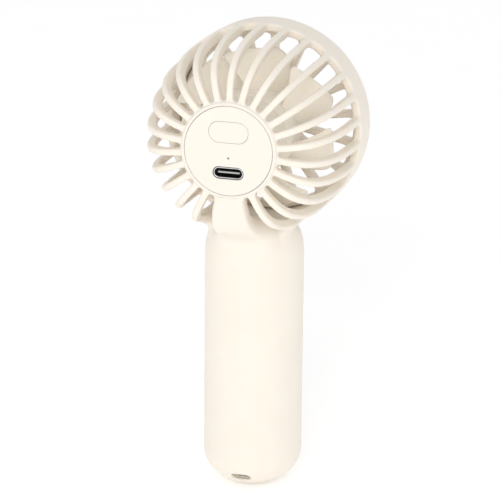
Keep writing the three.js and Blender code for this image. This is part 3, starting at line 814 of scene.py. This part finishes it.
def make_usb_port():
    shell = [usb_outline(0), usb_outline(-2 * USB_WALL)]
    mesh = outline_piece("usb_port_shell", shell, usb_low[1], usb_high[1], 0.1)
    link(mesh, "port_steel", "body", "usb_shell")
    inside = [usb_outline(-2 * USB_WALL - 0.1)]
    floor = tongue_low[1]
    mesh = outline_piece("usb_port_back", inside, floor, floor + USB_FLOOR, 0.1)
    link(mesh, "black_plastic", "body")
    seal = [usb_outline(SEAL_OUTSIDE), usb_outline(SEAL_INSIDE)]
    front, back = COVER_FRONT + SEAL_DEPTH, HEAD_BACK - SEAL_DEPTH
    mesh = outline_piece("usb_port_seal", seal, front, back, 0.03)
    link(mesh, "black_plastic", "body")
    # The tongue is black back from its lighter grey tip: partly the real black insulator, partly
    # painted shade of the deep port.
    tongue = [stadium(TONGUE_WIDTH, TONGUE_HEIGHT, USB_UP, 8)]
    tip = tongue_high[1]
    root = floor + USB_FLOOR - TONGUE_SINK
    mesh = outline_piece("usb_port_tongue", tongue, root, tip - TONGUE_TIP, 0.05)
    link(mesh, "black_plastic", "body", "usb_tongue")
    mesh = outline_piece("usb_port_tongue_tip", tongue, tip - TONGUE_TIP, tip, 0.12)
    link(mesh, "grey_plastic", "body")


def make_light_pipe():
    low, high = pipe_low[1], pipe_high[1]
    front, back = PIPE_FLANGE_Y
    profile = [(0, low), (PIPE_RADIUS, low), (PIPE_RADIUS, front)]
    profile += [(PIPE_FLANGE, front), (PIPE_FLANGE, back), (PIPE_TIP, back)]
    profile += arc((0, high - PIPE_TIP), PIPE_TIP, 0, 90, 5)
    mesh = turned("led_window", profile, 24, axis_z=HEAD_Z + LED_UP)
    link(mesh, "clear_plastic", "body", "led_light_pipe")


# ---- Impeller ----
ROTOR_RADIUS = 12.9
ROTOR_BORE = 11.5
ROTOR_NOSE = -6.4        # the front of its crowned nose
ROTOR_SHOULDER = -3.1    # where the nose meets the straight side
NOSE_CROWN = 0.5
NOSE_EDGE = 3.3
ROTOR_EDGE = 0.35
SHAFT_BORE = 1.3
SHAFT_SEAT = (-4.9, -1.4)
BLADES = 7
BLADE_RADII = (12.2, 24.3)   # this and the pairs below go from the root to the tip
BLADE_CHORDS = (14, 19)
BLADE_PITCHES = (46, 31)     # degrees
BLADE_THICKNESS = (1.3, 1)
BLADE_MIDDLE = -0.3
BLADE_CAMBER = 0.9
BLADE_TURN = 3.4         # degrees, the first blade's middle at its tip
BLADE_SWEEP = 22         # degrees by which its root lags behind its tip
BLADE_OUT_STEPS = 26
BLADE_CHORD_STEPS = 30


def between(ends, share):
    return ends[0] + (ends[1] - ends[0]) * share


def blade_section(number, out):
    """A closed ring of points round the blade at one radius, where out goes from 0 to 1."""
    radius = between(BLADE_RADII, out)
    turn = 2 * math.pi * number / BLADES
    turn += math.radians(BLADE_TURN - BLADE_SWEEP * (1 - out))
    chord = between(BLADE_CHORDS, math.sin(math.pi / 2 * out))
    tip_round = max(0.0, (out - 0.85) / 0.15)
    chord *= math.sqrt(max(0.0, 1 - 0.22 * tip_round**3))
    pitch = math.radians(between(BLADE_PITCHES, out))
    thick = between(BLADE_THICKNESS, out) / math.cos(pitch)
    thick *= math.sqrt(max(0.02, 1 - max(0.0, (out - 0.95) / 0.05) ** 2))
    points = []
    for side in (1, -1):
        for k in range(BLADE_CHORD_STEPS):
            t = -math.cos(math.pi * k / BLADE_CHORD_STEPS) * side
            along = t / 2
            camber = BLADE_CAMBER * (1 - t * t)
            half = thick / 2 * max(0.0, 1 - abs(t) ** 24) ** 0.5 * side
            angle = turn + along * chord * math.cos(pitch) / radius
            y = BLADE_MIDDLE + along * chord * math.sin(pitch) + camber + half
            points.append((radius * math.sin(angle), y, HEAD_Z + radius * math.cos(angle)))
    return points


def blade(number):
    """A cambered, twisted blade with rounded edges, as vertices and faces."""
    vertices, faces, rows = [], [], []
    for i in range(BLADE_OUT_STEPS + 1):
        points = blade_section(number, i / BLADE_OUT_STEPS)
        rows.append([len(vertices) + k for k in range(len(points))])
        vertices += points
    count = len(rows[0])
    for low, high in zip(rows, rows[1:]):
        for k in range(count):
            m = (k + 1) % count
            faces.append([low[k], high[k], high[m], low[m]])
    faces.append(rows[0][:])
    faces.append(rows[-1][::-1])
    return vertices, faces


def make_impeller():
    profile = [(0, ROTOR_NOSE)]
    profile += [(r, ROTOR_NOSE + NOSE_CROWN * (r / 10) ** 3) for r in (3, 6, 8)]
    profile += arc((ROTOR_RADIUS - NOSE_EDGE, ROTOR_SHOULDER), NOSE_EDGE, -80, 0, 12)
    profile += arc((ROTOR_RADIUS - ROTOR_EDGE, ROTOR_BACK - ROTOR_EDGE), ROTOR_EDGE, 0, 90, 5)
    profile += [(ROTOR_BORE, ROTOR_BACK), (ROTOR_BORE, SHAFT_SEAT[1])]
    profile += [(SHAFT_BORE, SHAFT_SEAT[1]), (SHAFT_BORE, SHAFT_SEAT[0]), (0, SHAFT_SEAT[0])]
    mesh = turned("impeller_hub", profile, 120)
    link(mesh, "fan_plastic", "rotor", "impeller")
    vertices, faces = [], []
    for i in range(BLADES):
        new_vertices, new_faces = blade(i)
        start = len(vertices)
        vertices += new_vertices
        faces += [[v + start for v in face] for face in new_faces]
    mesh = mesh_from("impeller_blades", vertices, faces)
    mesh.set_sharp_from_angle(angle=math.radians(60))
    link(mesh, "fan_plastic", "rotor")


# ---- Floor and light ----
FLOOR_GLOW = 0.2
WORLD_LIGHT = 0.78
KEY_PLACE = (-0.24, 1.27, 0.58)   # metres, as are the next two
KEY_AIM = (0, 0, 0.09)
KEY_SIZE = 0.5
KEY_POWER = 4.7


def make_stage():
    bpy.ops.mesh.primitive_plane_add(size=8, location=(0, 0, 0))
    floor = bpy.context.object
    floor.name = "floor"
    nodes = Nodes("floor_paper")
    tone = nodes.blend(nodes.noise(40.0, 2.0), (0.97, 0.97, 0.97), (0.99, 0.99, 0.99))
    nodes.join(tone, nodes.shader.inputs["Base Color"])
    nodes.set(Roughness=0.9, Specular_IOR_Level=0.1, Emission_Strength=FLOOR_GLOW)
    nodes.shader.inputs["Emission Color"].default_value = (1, 1, 1, 1)
    floor.data.materials.append(nodes.material)


def area_light(name, place, aim, size, power):
    data = bpy.data.lights.new(name, "AREA")
    data.size = size
    data.energy = power
    light = bpy.data.objects.new(name, data)
    bpy.context.scene.collection.objects.link(light)
    direction = Vector(aim) - Vector(place)
    light.matrix_world = (
        Matrix.Translation(Vector(place)) @ direction.to_track_quat("-Z", "Y").to_matrix().to_4x4()
    )


def make_lights():
    world = bpy.data.worlds.new("studio")
    bpy.context.scene.world = world
    world.use_nodes = True
    background = world.node_tree.nodes["Background"]
    background.inputs["Color"].default_value = (1, 1, 1, 1)
    background.inputs["Strength"].default_value = WORLD_LIGHT
    area_light("key", KEY_PLACE, KEY_AIM, KEY_SIZE, KEY_POWER)
    bpy.context.scene.view_settings.view_transform = "Standard"


dress_nodes()
make_rear_housing()
make_front_shell()
make_front_grille()
make_hub_rim()
make_center_cap()
make_cover()
make_button()
make_usb_port()
make_light_pipe()
make_impeller()
make_stage()
make_lights()
